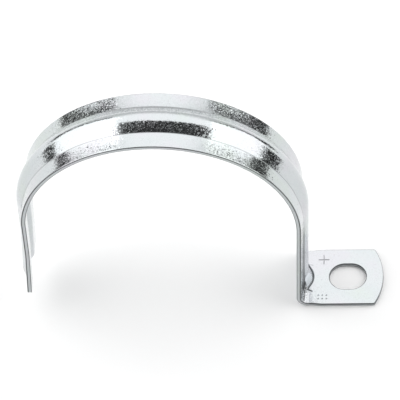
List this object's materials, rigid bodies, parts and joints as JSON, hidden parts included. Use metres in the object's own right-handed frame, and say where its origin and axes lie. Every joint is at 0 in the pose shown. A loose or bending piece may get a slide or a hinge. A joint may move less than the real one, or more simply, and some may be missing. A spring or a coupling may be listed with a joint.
{
  "type": "conduit strap",
  "caption": "One-hole conduit strap: a ribbed steel band arched over the conduit, with a slotted foot and a sprung leg.",
  "frame": {"origin": "on the axis of the seated conduit, at the middle of the strap's width", "axes": "+X from the conduit's axis towards the slotted foot, +Y along the conduit, +Z away from the mounting surface"},
  "size_m": [0.1218, 0.0222, 0.0927],
  "materials": {
    "zinc_steel": "bright zinc plate over pressed steel"
  },
  "bodies": {
    "root": {"strap": "zinc_steel"}
  },
  "joints": []
}
